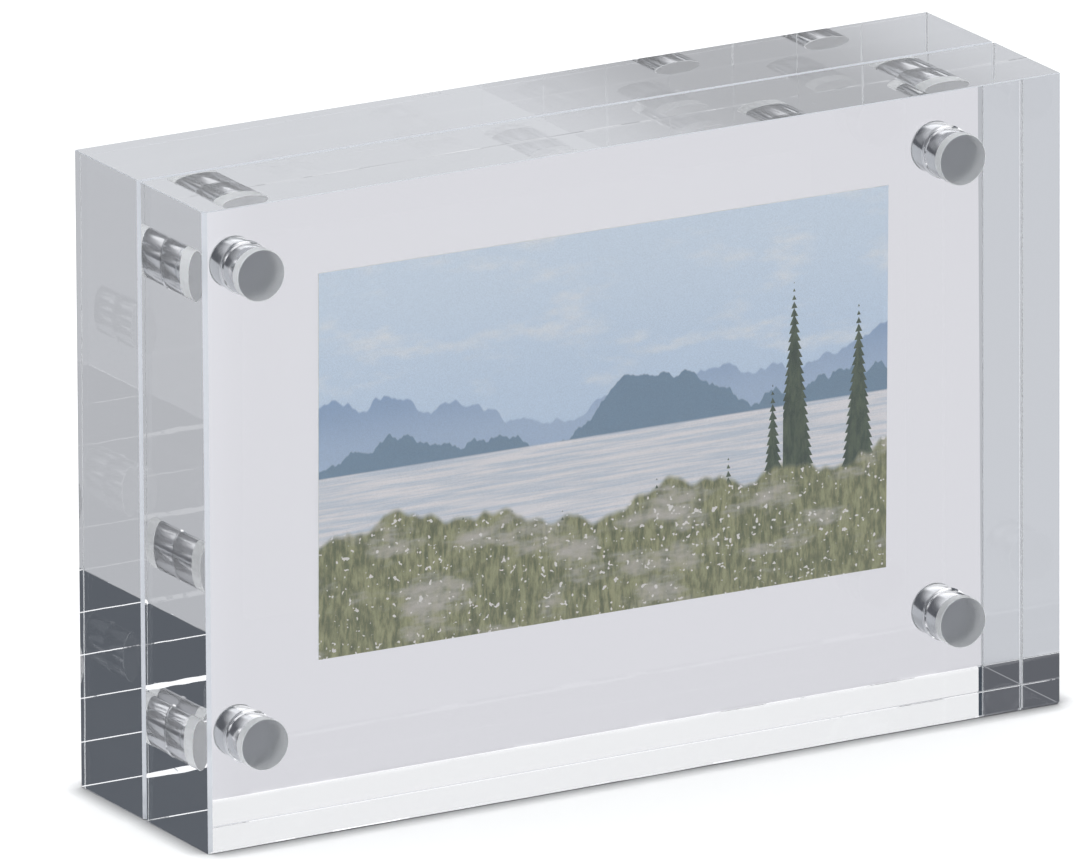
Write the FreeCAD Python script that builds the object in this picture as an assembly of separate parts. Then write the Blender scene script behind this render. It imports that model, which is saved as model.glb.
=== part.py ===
import FreeCAD, Part
import os

# Acrylic block picture frame. Two thick clear blocks stand face to face and clamp a loose
# print between them. At each corner a cylinder magnet sits in a blind bore in each block,
# and the four pairs of magnets pull the blocks together.
# Millimetres. +Z is up, +X is to the right and the front looks along -Y. The origin is
# under the middle of the frame, on the surface that it stands on.

# Blocks, both cut and drilled alike
block_width = 150.0
block_height = 101.0
block_thickness = 19.8
edge_bevel = 0.4

# Magnets
magnet_diameter = 8.0
magnet_length = 6.0
magnet_rim_bevel = 0.35
magnet_side_inset = 13.5
magnet_end_inset = 13.5

# Blind bores for the magnets, drilled from the face that meets the other block
bore_depth = 8.6
bore_clearance = 0.05
bore_mouth_bevel = 0.15
bore_corner_bevel = 0.25
magnet_recess = 0.05

# Loose print between the blocks
print_width = 100.0
print_height = 61.0
print_thickness = 0.25
print_clearance = 0.05
print_right_of_middle = 1.0
print_above_middle = 3.2
print_lean_deg = 0.5

# Derived places
half_gap = print_thickness / 2 + print_clearance
bore_radius = magnet_diameter / 2 + bore_clearance
magnet_x = block_width / 2 - magnet_side_inset
magnet_low_z = magnet_end_inset
magnet_high_z = block_height - magnet_end_inset
corners = {
    "bottom_left": (-magnet_x, magnet_low_z),
    "bottom_right": (magnet_x, magnet_low_z),
    "top_left": (-magnet_x, magnet_high_z),
    "top_right": (magnet_x, magnet_high_z),
}

right = FreeCAD.Vector(1, 0, 0)
back = FreeCAD.Vector(0, 1, 0)
up = FreeCAD.Vector(0, 0, 1)
origin = FreeCAD.Vector(0, 0, 0)
half_turn_deg = 180
full_turn_deg = 360


def bore():
    """The space of one bore, mouth on the plane y = 0, running back along +Y."""
    mouth_radius = bore_radius + bore_mouth_bevel
    floor_radius = bore_radius - bore_corner_bevel
    half_section = Part.makePolygon([
        origin,
        FreeCAD.Vector(mouth_radius, 0, 0),
        FreeCAD.Vector(bore_radius, bore_mouth_bevel, 0),
        FreeCAD.Vector(bore_radius, bore_depth - bore_corner_bevel, 0),
        FreeCAD.Vector(floor_radius, bore_depth, 0),
        FreeCAD.Vector(0, bore_depth, 0),
        origin,
    ])
    return Part.Face(half_section).revolve(origin, back, full_turn_deg)


def at_corner(shape, corner):
    """Moves a shape made at the origin to a corner of the rear block's front face."""
    x, z = corners[corner]
    return shape.translated(FreeCAD.Vector(x, half_gap, z))


def rear_block():
    """A clear block with bevelled edges and a blind bore at each corner."""
    low_corner = FreeCAD.Vector(-block_width / 2, half_gap, 0)
    slab = Part.makeBox(block_width, block_thickness, block_height, low_corner)
    block = slab.makeChamfer(edge_bevel, slab.Edges)
    for corner in corners:
        block = block.cut(at_corner(bore(), corner))
    return block


def rear_magnet(corner):
    """A cylinder magnet with bevelled rims, just below the mouth of its bore."""
    seat = FreeCAD.Vector(0, magnet_recess, 0)
    cylinder = Part.makeCylinder(magnet_diameter / 2, magnet_length, seat, back)
    rims = [edge for edge in cylinder.Edges if isinstance(edge.Curve, Part.Circle)]
    return at_corner(cylinder.makeChamfer(magnet_rim_bevel, rims), corner)


def turned_to_front(shape):
    """The front half is the rear half turned about the upright middle line."""
    return shape.rotated(origin, up, half_turn_deg)


def photo_print():
    """A sheet of photo paper in the gap, a little off centre and leaning a little."""
    low_corner = FreeCAD.Vector(-print_width / 2, -print_thickness / 2, -print_height / 2)
    sheet = Part.makeBox(print_width, print_thickness, print_height, low_corner)
    sheet = sheet.rotated(origin, back, print_lean_deg)
    middle_z = block_height / 2 + print_above_middle
    return sheet.translated(FreeCAD.Vector(print_right_of_middle, 0, middle_z))


other_side = {
    "bottom_left": "bottom_right",
    "bottom_right": "bottom_left",
    "top_left": "top_right",
    "top_right": "top_left",
}

nodes = {
    "rear_block": rear_block(),
    "front_block": turned_to_front(rear_block()),
    "photo_print": photo_print(),
}
for corner in corners:
    nodes["rear_magnet_" + corner] = rear_magnet(corner)
    nodes["front_magnet_" + corner] = turned_to_front(rear_magnet(other_side[corner]))

os.makedirs("parts", exist_ok=True)
for name, shape in nodes.items():
    shape.exportStep("parts/" + name + ".step")
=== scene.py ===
import math

import bmesh
import bpy
from mathutils import Matrix, Vector, noise


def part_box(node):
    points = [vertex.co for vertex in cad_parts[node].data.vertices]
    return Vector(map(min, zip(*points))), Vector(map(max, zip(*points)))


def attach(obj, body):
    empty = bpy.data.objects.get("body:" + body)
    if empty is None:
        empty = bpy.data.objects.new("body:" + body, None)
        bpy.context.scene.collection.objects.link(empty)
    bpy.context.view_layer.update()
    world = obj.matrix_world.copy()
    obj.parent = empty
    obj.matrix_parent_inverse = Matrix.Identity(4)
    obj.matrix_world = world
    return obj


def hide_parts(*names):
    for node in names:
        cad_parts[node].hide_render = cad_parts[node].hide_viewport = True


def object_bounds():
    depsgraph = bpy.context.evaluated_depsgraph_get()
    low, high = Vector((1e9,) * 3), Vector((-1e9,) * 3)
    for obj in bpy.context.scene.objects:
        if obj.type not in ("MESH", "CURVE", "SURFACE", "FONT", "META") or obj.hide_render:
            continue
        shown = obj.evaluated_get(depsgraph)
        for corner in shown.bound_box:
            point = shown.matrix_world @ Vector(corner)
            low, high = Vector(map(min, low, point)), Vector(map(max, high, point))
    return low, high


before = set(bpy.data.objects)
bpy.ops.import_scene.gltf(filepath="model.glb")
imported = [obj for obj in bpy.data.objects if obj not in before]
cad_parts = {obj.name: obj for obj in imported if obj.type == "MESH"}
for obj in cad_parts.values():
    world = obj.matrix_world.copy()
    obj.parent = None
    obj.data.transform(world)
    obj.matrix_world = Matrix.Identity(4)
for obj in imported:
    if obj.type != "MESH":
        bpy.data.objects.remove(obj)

cad_low, cad_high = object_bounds()
MM = 0.001
scene = bpy.context.scene

# Clear blocks
# Each block is sawn from cast acrylic sheet, milled and polished on all six sides. The
# edges are taken off by hand, so some bevels are wider than others. Four blind bores are
# drilled in the face that meets the other block.
ACRYLIC_IOR = 1.535
ACRYLIC_TINT = (0.985, 0.992, 1.0, 1.0)
BORE_TINT = (0.98, 0.985, 0.99, 1.0)
SCRAPED_TINT = (0.78, 0.81, 0.86, 1.0)
SANDED_TINT = (0.97, 0.98, 1.0, 1.0)
RIPPLE_SCALE = 90.0
RIPPLE_DEPTH = 0.002 * MM
TOOL_MARK_DEPTH = 0.01 * MM
ACRYLIC_SCRATCHES = 0.02
ACRYLIC_SCRATCH_ROUGHNESS = 0.12
EDGE_BEVEL = 0.12 * MM
BOTTOM_BEVEL = 0.08 * MM
JOINT_BEVEL = 0.32 * MM
JOINT_LEFT_BEVEL = 0.5 * MM
JOINT_RIGHT_BEVEL = 0.2 * MM
UPRIGHT_BEVEL = 0.65 * MM
FOOT_BEVEL = 0.42 * MM
FOOT_WAVE = 0.16 * MM
FOOT_WAVE_LENGTH = 7.0 * MM
FOOT_WAVE_ROW = 0.5
FOOT_STEPS = 90
LONG_EDGE = 1.0 * MM
EDGE_MATCH = 0.01 * MM
BOTTOM_MATCH = 1.0 * MM
SQUARE_ANGLE = math.radians(80)
SQUARE_ON = 0.999
MATING_AREA = 1.0 * MM * MM
FRONT_BORE_DEPTH = 8.6 * MM
REAR_BORE_DEPTH = 6.15 * MM
BORE_CLEARANCE = 0.05 * MM
BORE_MOUTH_BEVEL = 0.15 * MM
BORE_CORNER_BEVEL = 0.1 * MM
GLUE_OVERLAP = 0.01 * MM
MAGNET_RIM = 0.12 * MM
ROUND_STEPS = 96
WELD_REACH = 0.001 * MM
SOFT_ANGLE = math.radians(20)
CORNERS = ("top_left", "top_right", "bottom_left", "bottom_right")

# Most values of a noise lie between the first two, nearly all between the other two
NOISE_LOW = 0.3
NOISE_HIGH = 0.7
NOISE_LOWEST = 0.2
NOISE_HIGHEST = 0.8

# The angle of each set of scratches in radians, and its scale across them
HAIRLINE_SETS = ((0.4, 420.0), (1.9, 510.0), (2.7, 460.0))
HAIRLINE_STRETCH = 40
HAIRLINE_CUT = 0.86
HAIRLINE_GAIN = 30.0


def add(tree, kind, inputs=None, **settings):
    """Adds a node. An input takes a number, a colour or the output of another node."""
    node = tree.nodes.new(kind)
    for key, value in settings.items():
        setattr(node, key, value)
    for key, value in (inputs or {}).items():
        if isinstance(value, bpy.types.NodeSocket):
            tree.links.new(value, node.inputs[key])
        else:
            node.inputs[key].default_value = value
    return node


def maths(tree, operation, *values, clamp=False):
    """Adds a Math node and gives its output."""
    inputs = dict(enumerate(values))
    node = add(tree, "ShaderNodeMath", inputs, operation=operation, use_clamp=clamp)
    return node.outputs[0]


def span(tree, value, low, high, to_low=0.0, to_high=1.0):
    """Maps low to high onto to_low to to_high, smoothly, and holds the ends."""
    inputs = {"Value": value, "From Min": low, "From Max": high}
    inputs.update({"To Min": to_low, "To Max": to_high})
    node = add(tree, "ShaderNodeMapRange", inputs, interpolation_type="SMOOTHSTEP")
    return node.outputs["Result"]


def speckle(tree, place, scale, detail):
    """Adds a Noise Texture and gives its values."""
    node = add(tree, "ShaderNodeTexNoise", {"Vector": place, "Scale": scale, "Detail": detail})
    return node.outputs[0]


def relief(tree, height, strength, depth):
    """Adds a Bump node and gives its normal."""
    node = add(tree, "ShaderNodeBump", {"Strength": strength, "Distance": depth,
                                        "Height": height})
    return node.outputs[0]


def empty_material(name):
    """A new material without nodes, and its node tree."""
    material = bpy.data.materials.new(name)
    material.use_nodes = True
    material.node_tree.nodes.clear()
    return material, material.node_tree


def finish_material(tree, surface):
    """Gives a material its output."""
    output = add(tree, "ShaderNodeOutputMaterial")
    tree.links.new(surface.outputs[0], output.inputs["Surface"])


def hairlines_group():
    """Fine straight handling scratches, as a mask over a surface."""
    group = bpy.data.node_groups.new("hairlines", "ShaderNodeTree")
    group.interface.new_socket("Vector", in_out="INPUT", socket_type="NodeSocketVector")
    group.interface.new_socket("Density", in_out="INPUT", socket_type="NodeSocketFloat")
    group.interface.new_socket("Mask", in_out="OUTPUT", socket_type="NodeSocketFloat")
    source = add(group, "NodeGroupInput")
    threshold = maths(group, "SUBTRACT", HAIRLINE_CUT, source.outputs["Density"])
    total = None
    for angle, across in HAIRLINE_SETS:
        turned = add(group, "ShaderNodeMapping", {
            "Vector": source.outputs["Vector"], "Rotation": (angle, angle, angle),
            "Scale": (across, across, across / HAIRLINE_STRETCH)})
        streaks = speckle(group, turned.outputs[0], scale=1.0, detail=1.0)
        line = maths(group, "SUBTRACT", streaks, threshold)
        line = maths(group, "MULTIPLY", line, HAIRLINE_GAIN, clamp=True)
        total = line if total is None else maths(group, "MAXIMUM", total, line)
    add(group, "NodeGroupOutput", {"Mask": total})
    return group


hairlines = hairlines_group()


def scratches(tree, place, density):
    """Places the scratches in a material and gives their mask."""
    node = add(tree, "ShaderNodeGroup", {"Vector": place, "Density": density},
               node_tree=hairlines)
    return node.outputs["Mask"]


def polished_acrylic():
    """Clear acrylic with a faint ripple from polishing and a few hairline scratches."""
    material, tree = empty_material("polished_acrylic")
    place = add(tree, "ShaderNodeTexCoord").outputs["Object"]
    ripple = speckle(tree, place, RIPPLE_SCALE, detail=1.0)
    lines = scratches(tree, place, ACRYLIC_SCRATCHES)
    surface = add(tree, "ShaderNodeBsdfPrincipled", {
        "Base Color": ACRYLIC_TINT, "Metallic": 0.0,
        "Roughness": maths(tree, "MULTIPLY", lines, ACRYLIC_SCRATCH_ROUGHNESS),
        "IOR": ACRYLIC_IOR, "Transmission Weight": 1.0,
        "Normal": relief(tree, ripple, 1.0, RIPPLE_DEPTH)})
    finish_material(tree, surface)
    return material


def satin_acrylic(name, tint, clear, scale, strength, smoothest, roughest):
    """Acrylic left satin or frosted by a tool, with its marks as a fine bump."""
    material, tree = empty_material(name)
    place = add(tree, "ShaderNodeTexCoord").outputs["Object"]
    marks = speckle(tree, place, scale, detail=2.0)
    surface = add(tree, "ShaderNodeBsdfPrincipled", {
        "Base Color": tint, "Metallic": 0.0,
        "Roughness": span(tree, marks, NOISE_LOW, NOISE_HIGH, smoothest, roughest),
        "IOR": ACRYLIC_IOR, "Transmission Weight": clear,
        "Normal": relief(tree, marks, strength, TOOL_MARK_DEPTH)})
    finish_material(tree, surface)
    return material


acrylic_finishes = [
    polished_acrylic(),
    satin_acrylic("drilled_acrylic", BORE_TINT, clear=0.1, scale=900.0, strength=0.1,
                  smoothest=0.34, roughest=0.42),
    satin_acrylic("milled_acrylic", BORE_TINT, clear=1.0, scale=500.0, strength=0.02,
                  smoothest=0.42, roughest=0.48),
    satin_acrylic("scraped_acrylic", SCRAPED_TINT, clear=0.5, scale=700.0, strength=0.1,
                  smoothest=0.38, roughest=0.50),
    satin_acrylic("sanded_acrylic", SANDED_TINT, clear=0.0, scale=800.0, strength=0.1,
                  smoothest=0.42, roughest=0.54),
]
POLISHED, DRILLED, MILLED, SCRAPED, SANDED = range(len(acrylic_finishes))


def finished_object(bm, name, materials):
    """Turns a bmesh into an object at the origin with its normals outward."""
    bmesh.ops.recalc_face_normals(bm, faces=bm.faces)
    mesh = bpy.data.meshes.new(name)
    bm.to_mesh(mesh)
    bm.free()
    for material in materials:
        mesh.materials.append(material)
    piece = bpy.data.objects.new(name, mesh)
    scene.collection.objects.link(piece)
    return piece


def sink_bore(bm, magnet_node, mating_y, inward, bore_depth):
    """Spins one blind bore, tight on the magnet and a little wider past its end."""
    low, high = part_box(magnet_node)
    middle = (low + high) / 2
    radius = (high.x - low.x) / 2
    wall = radius + BORE_CLEARANCE
    tight = radius - GLUE_OVERLAP
    magnet_end = max((low.y - mating_y) * inward, (high.y - mating_y) * inward)
    grip_end = magnet_end - MAGNET_RIM
    section = (
        (wall + BORE_MOUTH_BEVEL, 0.0),
        (tight, BORE_MOUTH_BEVEL),
        (tight, grip_end),
        (wall, grip_end),
        (wall, bore_depth - BORE_CORNER_BEVEL),
        (wall - BORE_CORNER_BEVEL, bore_depth),
        (0.0, bore_depth),
    )
    points = [bm.verts.new((middle.x + r, mating_y + inward * depth, middle.z))
              for r, depth in section]
    edges = [bm.edges.new(pair) for pair in zip(points, points[1:])]
    before = set(bm.faces)
    bmesh.ops.spin(bm, geom=points + edges, cent=(middle.x, 0, middle.z), axis=(0, 1, 0),
                   angle=math.tau, steps=ROUND_STEPS, use_merge=True)
    # The middle of a face tells which stretch of the bore it lies on
    for face in set(bm.faces) - before:
        depth = (face.calc_center_median().y - mating_y) * inward
        flat_end = depth > bore_depth - BORE_CORNER_BEVEL / 4
        free_end = depth > grip_end - BORE_CLEARANCE / 2
        face.smooth = not flat_end
        if flat_end:
            face.material_index = MILLED
        elif free_end:
            face.material_index = DRILLED


def bevel_where(bm, offset, finish, wanted):
    """Bevels the square edges whose middles are wanted, and gives the new faces."""
    chosen = [e for e in bm.edges if e.calc_face_angle(0.0) > SQUARE_ANGLE
              and wanted((e.verts[0].co + e.verts[1].co) / 2)]
    made = bmesh.ops.bevel(bm, geom=chosen, offset=offset, affect="EDGES", segments=1,
                           profile=0.5, material=-1)
    for face in made["faces"]:
        face.material_index = finish
    return made["faces"]


def scraped_foot(bm, low):
    """The front bottom edge, scraped by hand to a bevel of uneven width."""
    long_edges = [e for e in bm.edges if abs(e.verts[0].co.x - e.verts[1].co.x) > LONG_EDGE]
    bmesh.ops.subdivide_edges(bm, edges=long_edges, cuts=FOOT_STEPS - 1)
    strip = bevel_where(bm, FOOT_BEVEL, POLISHED, lambda middle: middle.y < low.y + EDGE_MATCH
                        and middle.z < low.z + EDGE_MATCH)
    for corner in {corner for face in strip for corner in face.verts}:
        wave = noise.noise((corner.co.x / FOOT_WAVE_LENGTH, corner.co.y / FOOT_BEVEL,
                            FOOT_WAVE_ROW))
        if corner.co.z > low.z + EDGE_MATCH:
            corner.co.z += FOOT_WAVE * wave
        else:
            corner.co.y += FOOT_WAVE * wave


def clear_block(name, node, magnets, inward, bore_depth, body):
    """A bevelled slab, open on its mating face, with its bores filled in round."""
    low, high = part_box(node)
    mating_y = low.y if inward > 0 else high.y
    bm = bmesh.new()
    bmesh.ops.create_cube(bm, size=1.0)
    bmesh.ops.scale(bm, vec=high - low, verts=bm.verts)
    bmesh.ops.translate(bm, vec=(low + high) / 2, verts=bm.verts)
    if inward < 0:
        scraped_foot(bm, low)
        bevel_where(bm, UPRIGHT_BEVEL, SCRAPED, lambda middle: middle.y < low.y + EDGE_MATCH
                    and middle.x < low.x + EDGE_MATCH)
    bevel_where(bm, JOINT_LEFT_BEVEL, SCRAPED, lambda middle: middle.x < low.x + EDGE_MATCH
                and abs(middle.y - mating_y) < EDGE_MATCH)
    bevel_where(bm, JOINT_RIGHT_BEVEL, SANDED, lambda middle: middle.x > high.x - EDGE_MATCH
                and abs(middle.y - mating_y) < EDGE_MATCH)
    bevel_where(bm, JOINT_BEVEL, SCRAPED, lambda middle: middle.z > high.z - EDGE_MATCH
                and abs(middle.y - mating_y) < EDGE_MATCH)
    bevel_where(bm, BOTTOM_BEVEL, POLISHED, lambda middle: middle.z < low.z + BOTTOM_MATCH)
    bevel_where(bm, EDGE_BEVEL, SANDED, lambda middle: middle.x > high.x - EDGE_MATCH)
    bevel_where(bm, EDGE_BEVEL, SCRAPED, lambda middle: True)
    # Where bevels of unlike widths meet, a corner may land a hair outside the slab
    for corner in bm.verts:
        corner.co.y = min(max(corner.co.y, low.y), high.y)
    mating = [f for f in bm.faces if f.normal.y * inward < -SQUARE_ON
              and f.calc_area() > MATING_AREA]
    bmesh.ops.delete(bm, geom=mating, context="FACES")
    for magnet_node in magnets:
        sink_bore(bm, magnet_node, mating_y, inward, bore_depth)
    bmesh.ops.remove_doubles(bm, verts=bm.verts, dist=WELD_REACH)
    rims = [e for e in bm.edges if e.is_boundary]
    bmesh.ops.triangle_fill(bm, edges=rims, use_beauty=True)
    for edge in bm.edges:
        edge.smooth = edge.calc_face_angle(0.0) < SOFT_ANGLE
    piece = finished_object(bm, name, acrylic_finishes)
    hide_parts(node)
    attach(piece, body)


REAR_MAGNETS = ["rear_magnet_" + corner for corner in CORNERS]
FRONT_MAGNETS = ["front_magnet_" + corner for corner in CORNERS]
clear_block("rear_acrylic", "rear_block", REAR_MAGNETS, 1, REAR_BORE_DEPTH, "rear")
clear_block("front_acrylic", "front_block", FRONT_MAGNETS, -1, FRONT_BORE_DEPTH, "front")

# Magnets
# Eight sintered cylinder magnets, ends ground flat, rims tumbled, plated with nickel.
# Each is glued in its bore with clear glue, just below the mating face, so that the pair
# at each corner pulls the blocks together.
NICKEL = (0.65, 0.66, 0.68, 1.0)
NICKEL_LIGHT = (0.71, 0.71, 0.72, 1.0)
GROUND_NICKEL = (0.50, 0.51, 0.53, 1.0)
GROUND_LIGHT = (0.54, 0.55, 0.56, 1.0)
ORANGE_PEEL_SCALE = 700.0
ORANGE_PEEL_STRENGTH = 0.15
ORANGE_PEEL_DEPTH = 0.01 * MM
NICKEL_CLOUD_SCALE = 400.0
NICKEL_SCRATCHES = 0.08
NICKEL_SCRATCH_ROUGHNESS = 0.08
RIM_STEPS = 4


def colour_mix(tree, factor, a, b):
    """Adds a Mix node and gives the colour between a and b."""
    node = add(tree, "ShaderNodeMix", {"Factor": factor, "A": a, "B": b}, data_type="RGBA")
    return node.outputs["Result"]


def nickel(name, tone, light_tone, smoothest, roughest):
    """Bright nickel over a tumbled blank: small orange peel, faint cloudy patches."""
    material, tree = empty_material(name)
    place = add(tree, "ShaderNodeTexCoord").outputs["Object"]
    peel = speckle(tree, place, ORANGE_PEEL_SCALE, detail=1.0)
    cloud = speckle(tree, place, NICKEL_CLOUD_SCALE, detail=3.0)
    clouded = span(tree, cloud, NOISE_LOW, NOISE_HIGH, smoothest, roughest)
    lines = scratches(tree, place, NICKEL_SCRATCHES)
    scratched = maths(tree, "MULTIPLY", lines, NICKEL_SCRATCH_ROUGHNESS)
    surface = add(tree, "ShaderNodeBsdfPrincipled", {
        "Base Color": colour_mix(tree, cloud, tone, light_tone), "Metallic": 1.0,
        "Roughness": maths(tree, "ADD", clouded, scratched),
        "Normal": relief(tree, peel, ORANGE_PEEL_STRENGTH, ORANGE_PEEL_DEPTH)})
    finish_material(tree, surface)
    return material


nickel_finishes = [
    nickel("plated_nickel", NICKEL, NICKEL_LIGHT, smoothest=0.11, roughest=0.17),
    nickel("ground_nickel", GROUND_NICKEL, GROUND_LIGHT, smoothest=0.13, roughest=0.18),
]
PLATED, GROUND = range(len(nickel_finishes))


def magnet(node, body):
    """A cylinder with rounded rims, laid along Y."""
    low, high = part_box(node)
    radius = (high.x - low.x) / 2
    bm = bmesh.new()
    bmesh.ops.create_cone(bm, cap_ends=True, segments=ROUND_STEPS, radius1=radius,
                          radius2=radius, depth=high.y - low.y)
    # A rim edge has an end, which is a face of many corners, on one side only
    rims = [e for e in bm.edges if len([f for f in e.link_faces if len(f.verts) > 4]) == 1]
    bmesh.ops.bevel(bm, geom=rims, offset=MAGNET_RIM, affect="EDGES", segments=RIM_STEPS,
                    profile=0.5, material=-1)
    bmesh.ops.rotate(bm, verts=bm.verts, cent=(0, 0, 0),
                     matrix=Matrix.Rotation(math.radians(90), 3, "X"))
    bmesh.ops.translate(bm, vec=(low + high) / 2, verts=bm.verts)
    for face in bm.faces:
        face.smooth = len(face.verts) <= 4
        face.material_index = PLATED if face.smooth else GROUND
    piece = finished_object(bm, node + "_plated", nickel_finishes)
    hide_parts(node)
    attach(piece, body)


for node in REAR_MAGNETS:
    magnet(node, "rear")
for node in FRONT_MAGNETS:
    magnet(node, "front")

# Loose print
# A colour print on satin photo paper, trimmed smaller than the blocks and laid between
# them by hand, so that it sits a little off centre and leans a little. The back and the
# cut edges are plain white paper.
PRINT_WIDTH = 100.0 * MM
PRINT_HEIGHT = 61.0 * MM
PRINT_LEAN = math.radians(0.5)
PRINT_EDGE = 0.02 * MM
PAPER_SHADE = (0.86, 0.86, 0.87, 1.0)
PAPER_WHITE = (0.90, 0.90, 0.90, 1.0)
PAPER_CLOUD_SCALE = 60.0
PAPER_SMOOTHEST = 0.55
PAPER_ROUGHEST = 0.75
FIBRE_SCALE = 1500.0
FIBRE_STRENGTH = 0.3
FIBRE_DEPTH = 0.01 * MM


def white_paper():
    """Plain paper with a fine fibre and faint cloudy patches."""
    material, tree = empty_material("white_paper")
    place = add(tree, "ShaderNodeTexCoord").outputs["Object"]
    fibre = speckle(tree, place, FIBRE_SCALE, detail=4.0)
    cloud = speckle(tree, place, PAPER_CLOUD_SCALE, detail=2.0)
    surface = add(tree, "ShaderNodeBsdfPrincipled", {
        "Base Color": colour_mix(tree, cloud, PAPER_SHADE, PAPER_WHITE),
        "Roughness": span(tree, fibre, NOISE_LOW, NOISE_HIGH, PAPER_SMOOTHEST, PAPER_ROUGHEST),
        "Normal": relief(tree, fibre, FIBRE_STRENGTH, FIBRE_DEPTH)})
    finish_material(tree, surface)
    return material


# Colours of the printed view
SKY_LOW = (0.67, 0.80, 0.97, 1.0)
SKY_HIGH = (0.78, 0.88, 1.00, 1.0)
CLOUD = (0.95, 0.96, 0.98, 1.0)
FAR_HILL_LOW = (0.48, 0.60, 0.78, 1.0)
FAR_HILL_HIGH = (0.32, 0.45, 0.66, 1.0)
NEAR_HILL = (0.22, 0.33, 0.45, 1.0)
LAKE_DARK = (0.68, 0.73, 0.81, 1.0)
LAKE_LIGHT = (0.95, 0.91, 0.92, 1.0)
GRASS_DARK = (0.15, 0.17, 0.08, 1.0)
GRASS_LIGHT = (0.42, 0.41, 0.22, 1.0)
GRASS_DRY = (0.60, 0.56, 0.50, 1.0)
PETAL = (0.90, 0.86, 0.82, 1.0)
NEEDLE_DARK = (0.045, 0.075, 0.05, 1.0)
NEEDLE_LIGHT = (0.11, 0.15, 0.09, 1.0)

# Places in the view, as shares of its width and height measured from its middle
SKY_FOOT = 0.0
SKY_TOP = 0.5
HAZE_TOP = 0.2
SHORE_FAR = -0.030
SHORE_NEAR = -0.036
SPRUCES_LEFT = 0.02
SPRUCES_RIGHT = 0.42
TIP_LEFT = -0.16
TIP_RIGHT = 0.36
SPRUCE_FOOT = 0.02

# The spruces' number across the view, shape and branches, and the grain of the print
SPRUCES_ACROSS = 12.0
SPRUCE_SCATTER = 0.7
TIP_UNEVEN = 0.25
TIP_SLOPE = 1.25
BRANCHES_UP = 46.0
BRANCH_REACH = 0.075
PATTERN_ROUGHNESS = 0.6
GRAIN_DARKEST = 0.88
GRAIN_LIGHTEST = 1.12
PRINT_SMOOTHEST = 0.30
PRINT_ROUGHEST = 0.40


def pattern(tree, vector, across, upward, detail, offset):
    """Noise over the view, with a scale of its own across and upward."""
    moved = add(tree, "ShaderNodeMapping", {
        "Vector": vector, "Location": (offset, offset, offset),
        "Scale": (across, upward, upward)})
    node = add(tree, "ShaderNodeTexNoise", {
        "Vector": moved.outputs[0], "Scale": 1.0, "Detail": detail,
        "Roughness": PATTERN_ROUGHNESS})
    return node.outputs[0]


def blend(tree, value, a, b, low, high):
    """Colour a where the value is at low, colour b where it is at high."""
    return colour_mix(tree, span(tree, value, low, high), a, b)


def uneven_line(tree, line, scale, detail, offset, lowest, highest):
    """The heights of a line across the view, such as the top of a range of hills."""
    bumps = pattern(tree, line, scale, 1.0, detail, offset)
    return span(tree, bumps, NOISE_LOWEST, NOISE_HIGHEST, lowest, highest)


def below(tree, height, top, soft):
    """A mask for what lies below the height top, with an edge as soft as given."""
    return span(tree, maths(tree, "SUBTRACT", top, height), -soft, soft)


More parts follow.
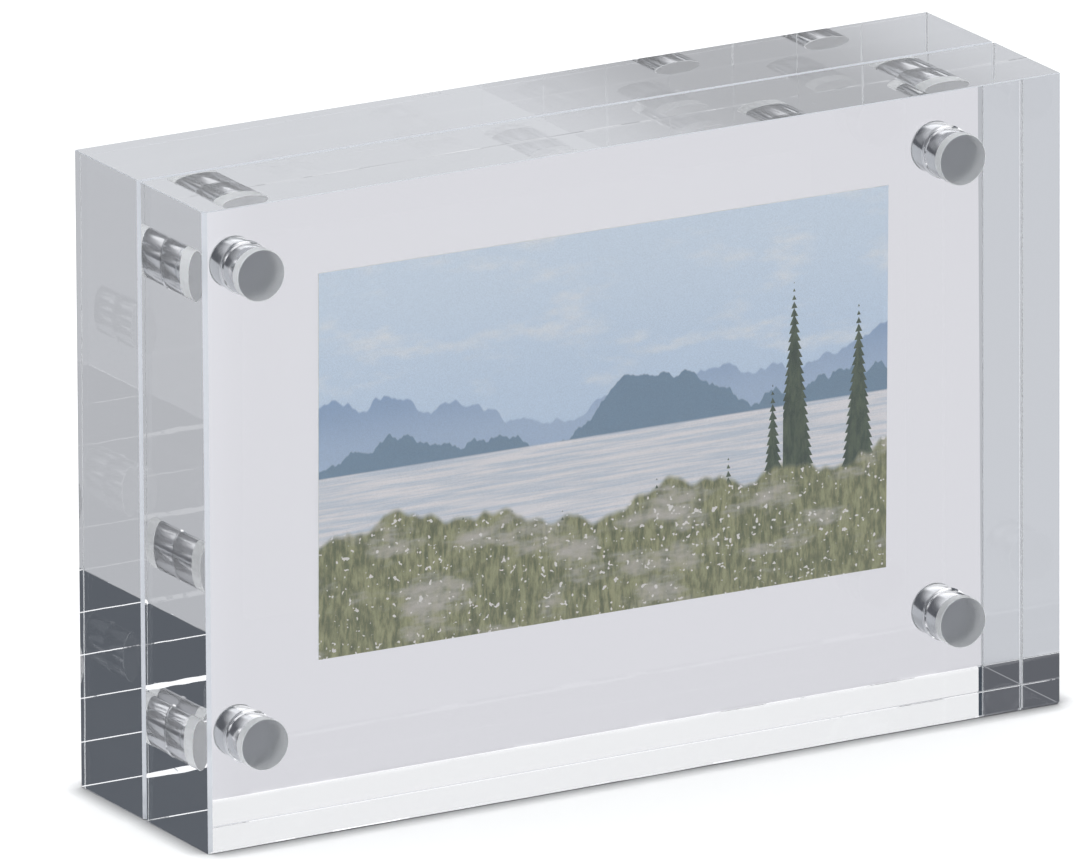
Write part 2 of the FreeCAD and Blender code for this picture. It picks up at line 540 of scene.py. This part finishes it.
def printed_picture(middle):
    """A made-up view: clouds, blue hills, a still lake, spruces and a flowery meadow."""
    material, tree = empty_material("printed_picture")
    place = add(tree, "ShaderNodeTexCoord").outputs["Object"]
    flat = add(tree, "ShaderNodeMapping", {
        "Vector": place, "Location": middle, "Rotation": (0.0, PRINT_LEAN, 0.0),
        "Scale": (PRINT_WIDTH, PRINT_WIDTH, PRINT_HEIGHT)}, vector_type="TEXTURE").outputs[0]
    parts = add(tree, "ShaderNodeSeparateXYZ", {"Vector": flat})
    across, height = parts.outputs["X"], parts.outputs["Z"]
    line = add(tree, "ShaderNodeCombineXYZ", {"X": across}).outputs[0]

    # Sky with soft clouds
    puffs = pattern(tree, flat, across=4.0, upward=6.5, detail=5.0, offset=3.1)
    sky = blend(tree, height, SKY_LOW, SKY_HIGH, SKY_FOOT, SKY_TOP)
    sky = blend(tree, puffs, sky, CLOUD, low=0.50, high=0.72)

    # Two ranges of hills
    far_top = uneven_line(tree, line, scale=3.2, detail=5.0, offset=1.7, lowest=0.0,
                          highest=0.27)
    far_hills = blend(tree, height, FAR_HILL_LOW, FAR_HILL_HIGH, SKY_FOOT, HAZE_TOP)
    picture = colour_mix(tree, below(tree, height, far_top, soft=0.004), sky, far_hills)
    near_top = uneven_line(tree, line, scale=5.0, detail=5.0, offset=12.6, lowest=-0.08,
                           highest=0.12)
    picture = colour_mix(tree, below(tree, height, near_top, soft=0.003), picture, NEAR_HILL)

    # Lake
    ripple = pattern(tree, flat, across=5.0, upward=90.0, detail=4.0, offset=2.2)
    lake = blend(tree, ripple, LAKE_DARK, LAKE_LIGHT, low=0.35, high=0.65)
    picture = blend(tree, height, picture, lake, SHORE_FAR, SHORE_NEAR)

    # Meadow with pale flowers
    meadow_top = uneven_line(tree, line, scale=3.5, detail=4.0, offset=9.4, lowest=-0.32,
                             highest=-0.12)
    blades = pattern(tree, flat, across=130.0, upward=22.0, detail=4.0, offset=6.6)
    patches = pattern(tree, flat, across=7.0, upward=11.0, detail=4.0, offset=8.8)
    petals = pattern(tree, flat, across=110.0, upward=70.0, detail=1.0, offset=4.7)
    grass = blend(tree, blades, GRASS_DARK, GRASS_LIGHT, NOISE_LOW, NOISE_HIGH)
    grass = blend(tree, patches, grass, GRASS_DRY, low=0.5, high=0.7)
    grass = blend(tree, petals, grass, PETAL, low=0.66, high=0.70)
    picture = colour_mix(tree, below(tree, height, meadow_top, soft=0.01), picture, grass)

    # Spruces, tallest towards the right edge, with branches like the teeth of a saw
    spaced = maths(tree, "MULTIPLY", across, SPRUCES_ACROSS)
    trunk = add(tree, "ShaderNodeTexVoronoi", {
        "W": spaced, "Scale": 1.0, "Randomness": SPRUCE_SCATTER}, voronoi_dimensions="1D")
    chance = add(tree, "ShaderNodeSeparateColor", {0: trunk.outputs["Color"]}).outputs[0]
    tallest = span(tree, across, SPRUCES_LEFT, SPRUCES_RIGHT, TIP_LEFT, TIP_RIGHT)
    tip = maths(tree, "SUBTRACT", tallest, maths(tree, "MULTIPLY", chance, TIP_UNEVEN))
    taper = maths(tree, "MULTIPLY", trunk.outputs["Distance"], TIP_SLOPE)
    tooth = maths(tree, "FRACT", maths(tree, "MULTIPLY", height, BRANCHES_UP))
    branch = maths(tree, "MULTIPLY", tooth, BRANCH_REACH)
    edge = maths(tree, "ADD", maths(tree, "ADD", taper, branch), height)
    spruces = below(tree, edge, tip, soft=0.004)
    above_grass = span(tree, maths(tree, "SUBTRACT", height, meadow_top), -SPRUCE_FOOT, 0.0)
    needles = blend(tree, blades, NEEDLE_DARK, NEEDLE_LIGHT, NOISE_LOW, NOISE_HIGH)
    picture = colour_mix(tree, maths(tree, "MULTIPLY", spruces, above_grass), picture, needles)

    # Grain of the print
    grain = pattern(tree, flat, across=900.0, upward=550.0, detail=2.0, offset=0.0)
    grained = span(tree, grain, NOISE_LOWEST, NOISE_HIGHEST, GRAIN_DARKEST, GRAIN_LIGHTEST)
    tinted = add(tree, "ShaderNodeVectorMath", {0: picture, "Scale": grained},
                 operation="SCALE")
    roughness = span(tree, grain, NOISE_LOW, NOISE_HIGH, PRINT_SMOOTHEST, PRINT_ROUGHEST)
    surface = add(tree, "ShaderNodeBsdfPrincipled", {
        "Base Color": tinted.outputs[0], "Roughness": roughness})
    finish_material(tree, surface)
    return material


def loose_print():
    """A flat sheet with the picture on its front face."""
    low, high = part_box("photo_print")
    middle = (low + high) / 2
    bm = bmesh.new()
    bmesh.ops.create_cube(bm, size=1.0)
    bmesh.ops.scale(bm, vec=(PRINT_WIDTH, high.y - low.y, PRINT_HEIGHT), verts=bm.verts)
    bmesh.ops.bevel(bm, geom=bm.edges[:], offset=PRINT_EDGE, affect="EDGES", segments=1,
                    profile=0.5, material=-1)
    bmesh.ops.rotate(bm, verts=bm.verts, cent=(0, 0, 0),
                     matrix=Matrix.Rotation(PRINT_LEAN, 3, "Y"))
    bmesh.ops.translate(bm, vec=middle, verts=bm.verts)
    for face in bm.faces:
        face.material_index = 1 if face.normal.y < -SQUARE_ON else 0
    piece = finished_object(bm, "printed_sheet", [white_paper(), printed_picture(middle)])
    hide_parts("photo_print")
    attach(piece, "print")


loose_print()

# Table and surroundings
# A pale table top under soft studio light, with a painted contact shadow close to the frame.
# The clear blocks themselves see a tone board below the table's level, which glows with
# painted light and shade, and a glowing tone on the table under them with a painted shadow
# towards its right end, a dim room near the horizon and a bright ceiling.
WHITE = (1.0, 1.0, 1.0, 1.0)
TABLE_HALF = 4.0
TABLE_WHITE = (0.80, 0.80, 0.80, 1.0)
TABLE_LIFT = 0.30
TABLE_SINK = 0.05 * MM
# Painted contact shadow on the table: its dark colour, how far it reaches from the frame, how
# deep it gets, and its samples
TABLE_PAINTED_SHADOW = (0.10, 0.10, 0.11, 1.0)
CONTACT_REACH = 4.0 * MM
CONTACT_DEPTH = 1.6
CONTACT_SAMPLES = 8
# The tone board glows with painted light and shade of a table: lighter to the left of the
# view, darker to the right
BOARD_DROP = 45.0 * MM
BOARD_LIT_TONE = 0.64
BOARD_SHADED_TONE = 0.50
BOARD_SPLIT = -70.0 * MM
BOARD_SPLIT_SOFT = 10.0 * MM
# The glowing tone of the table under the frame, with a painted shadow darker towards its right
# end
UNDER_TONE = 0.70
UNDER_SHADOW_TONE = 0.40
UNDER_SHADOW_FROM = 34.0 * MM
UNDER_SHADOW_TO = 66.0 * MM
COOL_TONE = (0.97, 0.99, 1.04, 1.0)
VIEW_AZIMUTH = math.radians(29.822)
VIEW_ELEVATION = math.radians(16.671)
across_view = Vector((math.cos(VIEW_AZIMUTH), -math.sin(VIEW_AZIMUTH), 0.0))
along_view = Vector((math.sin(VIEW_AZIMUTH), math.cos(VIEW_AZIMUTH), 0.0))


def seen_in_object(tree):
    """1 for a ray that left the camera and met only gloss and clear plastic."""
    path = add(tree, "ShaderNodeLightPath").outputs
    gloss = maths(tree, "MAXIMUM", path["Is Glossy Ray"], path["Is Transmission Ray"])
    direct = maths(tree, "LESS_THAN", path["Diffuse Depth"], 0.5)
    return maths(tree, "MULTIPLY", gloss, direct)


def stage_sheet(name, size_x, size_y, height, material):
    """A flat sheet that only sets the scene."""
    bm = bmesh.new()
    bmesh.ops.create_grid(bm, x_segments=1, y_segments=1, size=0.5)
    bmesh.ops.scale(bm, vec=(size_x, size_y, 1.0), verts=bm.verts)
    bmesh.ops.translate(bm, vec=(0, 0, height), verts=bm.verts)
    sheet = finished_object(bm, name, [material])
    return sheet


def pale_table():
    """A matt white that the light lifts a little, with a painted contact shadow close to the
    frame.
    """
    material, tree = empty_material("pale_table")
    # Painted contact shadow: ambient occlusion darkens the table's colour and its lift close
    # to the frame
    near = add(tree, "ShaderNodeAmbientOcclusion", {"Distance": CONTACT_REACH},
               samples=CONTACT_SAMPLES)
    open_sky = maths(tree, "POWER", near.outputs["AO"], CONTACT_DEPTH)
    shaded = colour_mix(tree, open_sky, TABLE_PAINTED_SHADOW, TABLE_WHITE)
    lifted = maths(tree, "MULTIPLY", open_sky, TABLE_LIFT)
    white = add(tree, "ShaderNodeBsdfDiffuse", {"Color": shaded})
    lift = add(tree, "ShaderNodeEmission", {"Color": WHITE, "Strength": lifted})
    lit = add(tree, "ShaderNodeAddShader", {0: white.outputs[0], 1: lift.outputs[0]})
    finish_material(tree, lit)
    return material


def tone_material(name, level_of):
    """A tone that only the frame sees, by gloss or through clear plastic."""
    material, tree = empty_material(name)
    place = add(tree, "ShaderNodeTexCoord").outputs["Object"]
    tone = add(tree, "ShaderNodeEmission", {"Color": COOL_TONE,
                                            "Strength": level_of(tree, place)})
    clear = add(tree, "ShaderNodeBsdfTransparent")
    surface = add(tree, "ShaderNodeMixShader", {0: seen_in_object(tree), 1: clear.outputs[0],
                                                2: tone.outputs[0]})
    finish_material(tree, surface)
    return material


def board_light_and_shade(tree, place):
    """Painted light and shade: lighter to the left of the view than to the right."""
    aside = add(tree, "ShaderNodeVectorMath", {0: place, 1: across_view},
                operation="DOT_PRODUCT").outputs["Value"]
    return span(tree, aside, BOARD_SPLIT - BOARD_SPLIT_SOFT, BOARD_SPLIT + BOARD_SPLIT_SOFT,
                BOARD_LIT_TONE, BOARD_SHADED_TONE)


def under_level_shadowed(tree, place):
    """Painted shadow: darker towards the frame's right end."""
    parts = add(tree, "ShaderNodeSeparateXYZ", {"Vector": place})
    return span(tree, parts.outputs["X"], UNDER_SHADOW_FROM, UNDER_SHADOW_TO, UNDER_TONE,
                UNDER_SHADOW_TONE)


table = stage_sheet("table_top", 2 * TABLE_HALF, 2 * TABLE_HALF, -TABLE_SINK, pale_table())
table.visible_glossy = False
table.visible_transmission = False
board = stage_sheet("tone_board", 2 * TABLE_HALF, 2 * TABLE_HALF, -BOARD_DROP,
                    tone_material("board_tone", board_light_and_shade))
footprint = cad_high - cad_low
under = stage_sheet("under_tone", footprint.x, footprint.y, -TABLE_SINK / 2,
                    tone_material("under_tone", under_level_shadowed))
for sheet in (board, under):
    sheet.visible_camera = False
    sheet.visible_shadow = False

# Camera
# A long lens looks from far off at the front left, a little above the frame, so that
# upright and level edges stay nearly parallel in the picture.
CAMERA_ROLL = math.radians(-0.289)
CAMERA_DISTANCE = 3884.4 * MM
CAMERA_AIM = Vector((-5.54, 0.0, 50.57)) * MM
CAMERA_LENS = 849.09
CAMERA_SENSOR = 36.0
NEAREST_SEEN = 0.1
FARTHEST_SEEN = 100.0
forward = along_view * math.cos(VIEW_ELEVATION) - Vector((0, 0, math.sin(VIEW_ELEVATION)))
above = across_view.cross(forward)
rolled_right = across_view * math.cos(CAMERA_ROLL) + above * math.sin(CAMERA_ROLL)
rolled_above = above * math.cos(CAMERA_ROLL) - across_view * math.sin(CAMERA_ROLL)
camera_data = bpy.data.cameras.new("camera")
camera_data.lens = CAMERA_LENS
camera_data.sensor_width = CAMERA_SENSOR
camera_data.clip_start = NEAREST_SEEN
camera_data.clip_end = FARTHEST_SEEN
camera = bpy.data.objects.new("camera", camera_data)
scene.collection.objects.link(camera)
turn = Matrix((rolled_right, rolled_above, -forward)).transposed().to_4x4()
camera.matrix_world = Matrix.Translation(CAMERA_AIM - forward * CAMERA_DISTANCE) @ turn
scene.camera = camera

# Light
# A plain soft dome lights everything. Soft boxes with grids, which only clear plastic and
# nickel show, stand behind the frame for the view straight through, the strip along the
# bottom and the magnets, and behind it and on three more sides for the gloss on top.
DOME = (1.16, 1.18, 1.20, 1.0)
DIM_ROOM = (0.035, 0.047, 0.064, 1.0)
DIM_LEFT = (0.105, 0.110, 0.125, 1.0)
LEFT_FROM = 0.2
LEFT_FULL = -0.1
CEILING = (1.20, 1.20, 1.22, 1.0)
CEILING_FROM = 0.32
CEILING_FULL = 0.46
CEILING_LEFT_FULL = 0.90
BOX_DISTANCE = 80.0 * MM
GRID_SPREAD = math.radians(60)
BACK_LEFT = -75.0 * MM
BACK_BOTTOM = -5.0 * MM
BACK_TOP = 104.0 * MM
PANEL_LEVEL = 0.98
PANEL_COLOUR = (1.02, 1.0, 0.985)
THROUGH_BOTTOM = -34.0 * MM
THROUGH_TOP = 100.0 * MM
THROUGH_LEVEL = 0.27
THROUGH_COLOUR = (1.06, 0.98, 1.01)
CAP_SPREAD = math.radians(32)
CAP_LEVEL = 0.50
GLOSS_HALF = 80.0 * MM
GLOSS_BOTTOM = 104.5 * MM
GLOSS_TOP = 160.0 * MM
GLOSS_LEVEL = 0.62
LEFT_GLOSS_LEVEL = 0.22
PLAIN_LIGHT = (1.0, 1.0, 1.0)


def grid_box(name, away, left, right, bottom, top, rise, spread, level, colour):
    """A soft box with a grid, square to rays that leave the frame at the angle rise."""
    width = right - left
    height = (top - bottom) * math.cos(rise)
    heading = away * math.cos(rise) + Vector((0, 0, math.sin(rise)))
    across = Vector((away.y, -away.x, 0.0))
    data = bpy.data.lights.new(name, "AREA")
    data.shape = "RECTANGLE"
    data.size = width
    data.size_y = height
    data.spread = spread
    data.color = colour
    half = spread / 2
    data.energy = level * math.pi * width * height * (math.tan(half) - half) / math.tan(half)
    box = bpy.data.objects.new(name, data)
    place = away * BOX_DISTANCE + across * (left + right) / 2
    place.z = (bottom + top) / 2
    up = across.cross(heading)
    turned = Matrix((across, -up, heading)).transposed().to_4x4()
    box.matrix_world = Matrix.Translation(place) @ turned
    box.visible_camera = False
    box.visible_diffuse = False
    scene.collection.objects.link(box)


back_edge = across_view.dot(Vector((cad_high.x, cad_high.y, 0)))
grid_box("through_box", along_view, BACK_LEFT, back_edge, THROUGH_BOTTOM, THROUGH_TOP,
         -VIEW_ELEVATION, GRID_SPREAD, THROUGH_LEVEL, THROUGH_COLOUR)
grid_box("back_panel", along_view, BACK_LEFT, back_edge, BACK_BOTTOM, BACK_TOP,
         VIEW_ELEVATION, GRID_SPREAD, PANEL_LEVEL, PANEL_COLOUR)
grid_box("cap_box", along_view, BACK_LEFT, back_edge, BACK_BOTTOM, BACK_TOP, 0.0,
         CAP_SPREAD, CAP_LEVEL, PLAIN_LIGHT)
for name, side_x, side_y, level in (
        ("gloss_box", 1, 1, GLOSS_LEVEL),
        ("front_gloss_box", 1, -1, GLOSS_LEVEL),
        ("left_gloss_box", -1, 1, LEFT_GLOSS_LEVEL),
        ("left_gloss_box", -1, -1, LEFT_GLOSS_LEVEL)):
    away = Vector((side_x * along_view.x, side_y * along_view.y, 0.0))
    grid_box(name, away, -GLOSS_HALF, GLOSS_HALF, GLOSS_BOTTOM, GLOSS_TOP, VIEW_ELEVATION,
             GRID_SPREAD, level, PLAIN_LIGHT)


def studio_world():
    """White to the camera, a plain dome for light, and for gloss a room with a ceiling."""
    world = bpy.data.worlds.new("studio")
    world.use_nodes = True
    tree = world.node_tree
    tree.nodes.clear()
    heading = add(tree, "ShaderNodeTexCoord").outputs["Generated"]
    parts = add(tree, "ShaderNodeSeparateXYZ", {"Vector": heading})
    leftward = span(tree, parts.outputs["X"], LEFT_FROM, LEFT_FULL)
    full = span(tree, leftward, 0.0, 1.0, CEILING_FULL, CEILING_LEFT_FULL)
    overhead = span(tree, parts.outputs["Z"], CEILING_FROM, full)
    room = colour_mix(tree, leftward, DIM_ROOM, DIM_LEFT)
    room = colour_mix(tree, overhead, room, CEILING)
    plain = colour_mix(tree, seen_in_object(tree), DOME, room)
    path = add(tree, "ShaderNodeLightPath").outputs["Is Camera Ray"]
    colour = colour_mix(tree, path, plain, WHITE)
    background = add(tree, "ShaderNodeBackground", {"Color": colour, "Strength": 1.0})
    output = add(tree, "ShaderNodeOutputWorld")
    tree.links.new(background.outputs[0], output.inputs["Surface"])
    scene.world = world


studio_world()

# Rays inside the clear blocks meet many faces before they leave
scene.cycles.max_bounces = 48
scene.cycles.glossy_bounces = 40
scene.cycles.transmission_bounces = 24
scene.cycles.transparent_max_bounces = 16
scene.view_settings.view_transform = "Standard"
